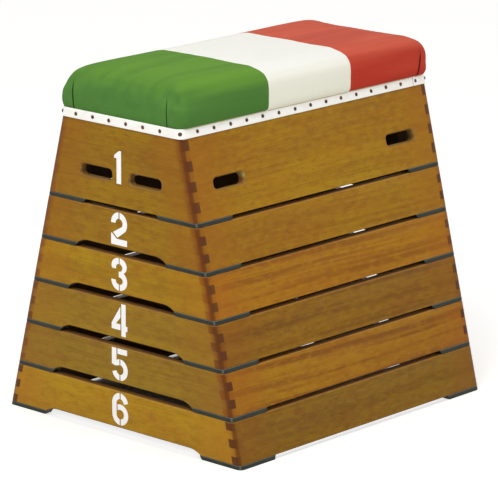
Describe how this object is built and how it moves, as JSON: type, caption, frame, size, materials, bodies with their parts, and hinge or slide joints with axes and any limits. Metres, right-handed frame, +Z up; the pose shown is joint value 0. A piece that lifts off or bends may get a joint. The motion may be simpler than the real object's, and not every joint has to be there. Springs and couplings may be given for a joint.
{
  "type": "vaulting box",
  "caption": "Wooden vaulting box of tapering, box-jointed frames that stack and lift off one another, with hand holes and a padded canvas top.",
  "frame": {"origin": "middle of the footprint on the floor", "axes": "+Z up; +X along the length, away from the numbered end with the green panel; +Y across the box towards its back; the front is -Y"},
  "size_m": [0.8086, 0.6954, 0.796],
  "materials": {
    "side_board_wood": "satin",
    "end_board_wood": "satin",
    "block_wood": "matte",
    "deck_plywood": "matte",
    "corner_rubber": "matte",
    "cushion_foam": "matte",
    "green_canvas": "matte",
    "white_canvas": "matte",
    "red_canvas": "matte",
    "band_vinyl": "satin"
  },
  "bodies": {
    "tier_6": {"tier_6_side_board_front": "side_board_wood", "tier_6_side_board_back": "side_board_wood", "tier_6_end_board_left": "end_board_wood", "tier_6_corner_pad_front_left": "corner_rubber", "tier_6_corner_pad_back_left": "corner_rubber", "tier_6_end_board_right": "end_board_wood", "tier_6_corner_pad_front_right": "corner_rubber", "tier_6_corner_pad_back_right": "corner_rubber"},
    "tier_5": {"tier_5_side_board_front": "side_board_wood", "tier_5_side_board_back": "side_board_wood", "tier_5_end_board_left": "end_board_wood", "tier_5_corner_pad_front_left": "corner_rubber", "tier_5_corner_pad_back_left": "corner_rubber", "tier_5_end_board_right": "end_board_wood", "tier_5_corner_pad_front_right": "corner_rubber", "tier_5_corner_pad_back_right": "corner_rubber"},
    "tier_4": {"tier_4_side_board_front": "side_board_wood", "tier_4_side_board_back": "side_board_wood", "tier_4_end_board_left": "end_board_wood", "tier_4_corner_pad_front_left": "corner_rubber", "tier_4_corner_pad_back_left": "corner_rubber", "tier_4_end_board_right": "end_board_wood", "tier_4_corner_pad_front_right": "corner_rubber", "tier_4_corner_pad_back_right": "corner_rubber"},
    "tier_3": {"tier_3_side_board_front": "side_board_wood", "tier_3_side_board_back": "side_board_wood", "tier_3_end_board_left": "end_board_wood", "tier_3_corner_pad_front_left": "corner_rubber", "tier_3_corner_pad_back_left": "corner_rubber", "tier_3_end_board_right": "end_board_wood", "tier_3_corner_pad_front_right": "corner_rubber", "tier_3_corner_pad_back_right": "corner_rubber"},
    "tier_2": {"tier_2_side_board_front": "side_board_wood", "tier_2_side_board_back": "side_board_wood", "tier_2_end_board_left": "end_board_wood", "tier_2_corner_pad_front_left": "corner_rubber", "tier_2_corner_pad_back_left": "corner_rubber", "tier_2_end_board_right": "end_board_wood", "tier_2_corner_pad_front_right": "corner_rubber", "tier_2_corner_pad_back_right": "corner_rubber"},
    "tier_1": {"tier_1_side_board_front": "side_board_wood", "tier_1_side_board_back": "side_board_wood", "tier_1_end_board_left": "end_board_wood", "tier_1_corner_pad_front_left": "corner_rubber", "tier_1_corner_block_front_left": "block_wood", "tier_1_corner_pad_back_left": "corner_rubber", "tier_1_corner_block_back_left": "block_wood", "tier_1_end_board_right": "end_board_wood", "tier_1_corner_pad_front_right": "corner_rubber", "tier_1_corner_block_front_right": "block_wood", "tier_1_corner_pad_back_right": "corner_rubber", "tier_1_corner_block_back_right": "block_wood", "deck_board": "deck_plywood", "foam_pad": "cushion_foam", "cover_panel_green": "green_canvas", "cover_panel_white": "white_canvas", "cover_panel_red": "red_canvas", "trim_band": "band_vinyl"}
  },
  "joints": [
    {"name": "tier_5_lift", "type": "slide", "parent": "tier_6", "child": "tier_5", "axis": [0, 0, 1], "range_m": [0, 0.15]},
    {"name": "tier_4_lift", "type": "slide", "parent": "tier_5", "child": "tier_4", "axis": [0, 0, 1], "range_m": [0, 0.15]},
    {"name": "tier_3_lift", "type": "slide", "parent": "tier_4", "child": "tier_3", "axis": [0, 0, 1], "range_m": [0, 0.15]},
    {"name": "tier_2_lift", "type": "slide", "parent": "tier_3", "child": "tier_2", "axis": [0, 0, 1], "range_m": [0, 0.15]},
    {"name": "tier_1_lift", "type": "slide", "parent": "tier_2", "child": "tier_1", "axis": [0, 0, 1], "range_m": [0, 0.15]}
  ]
}
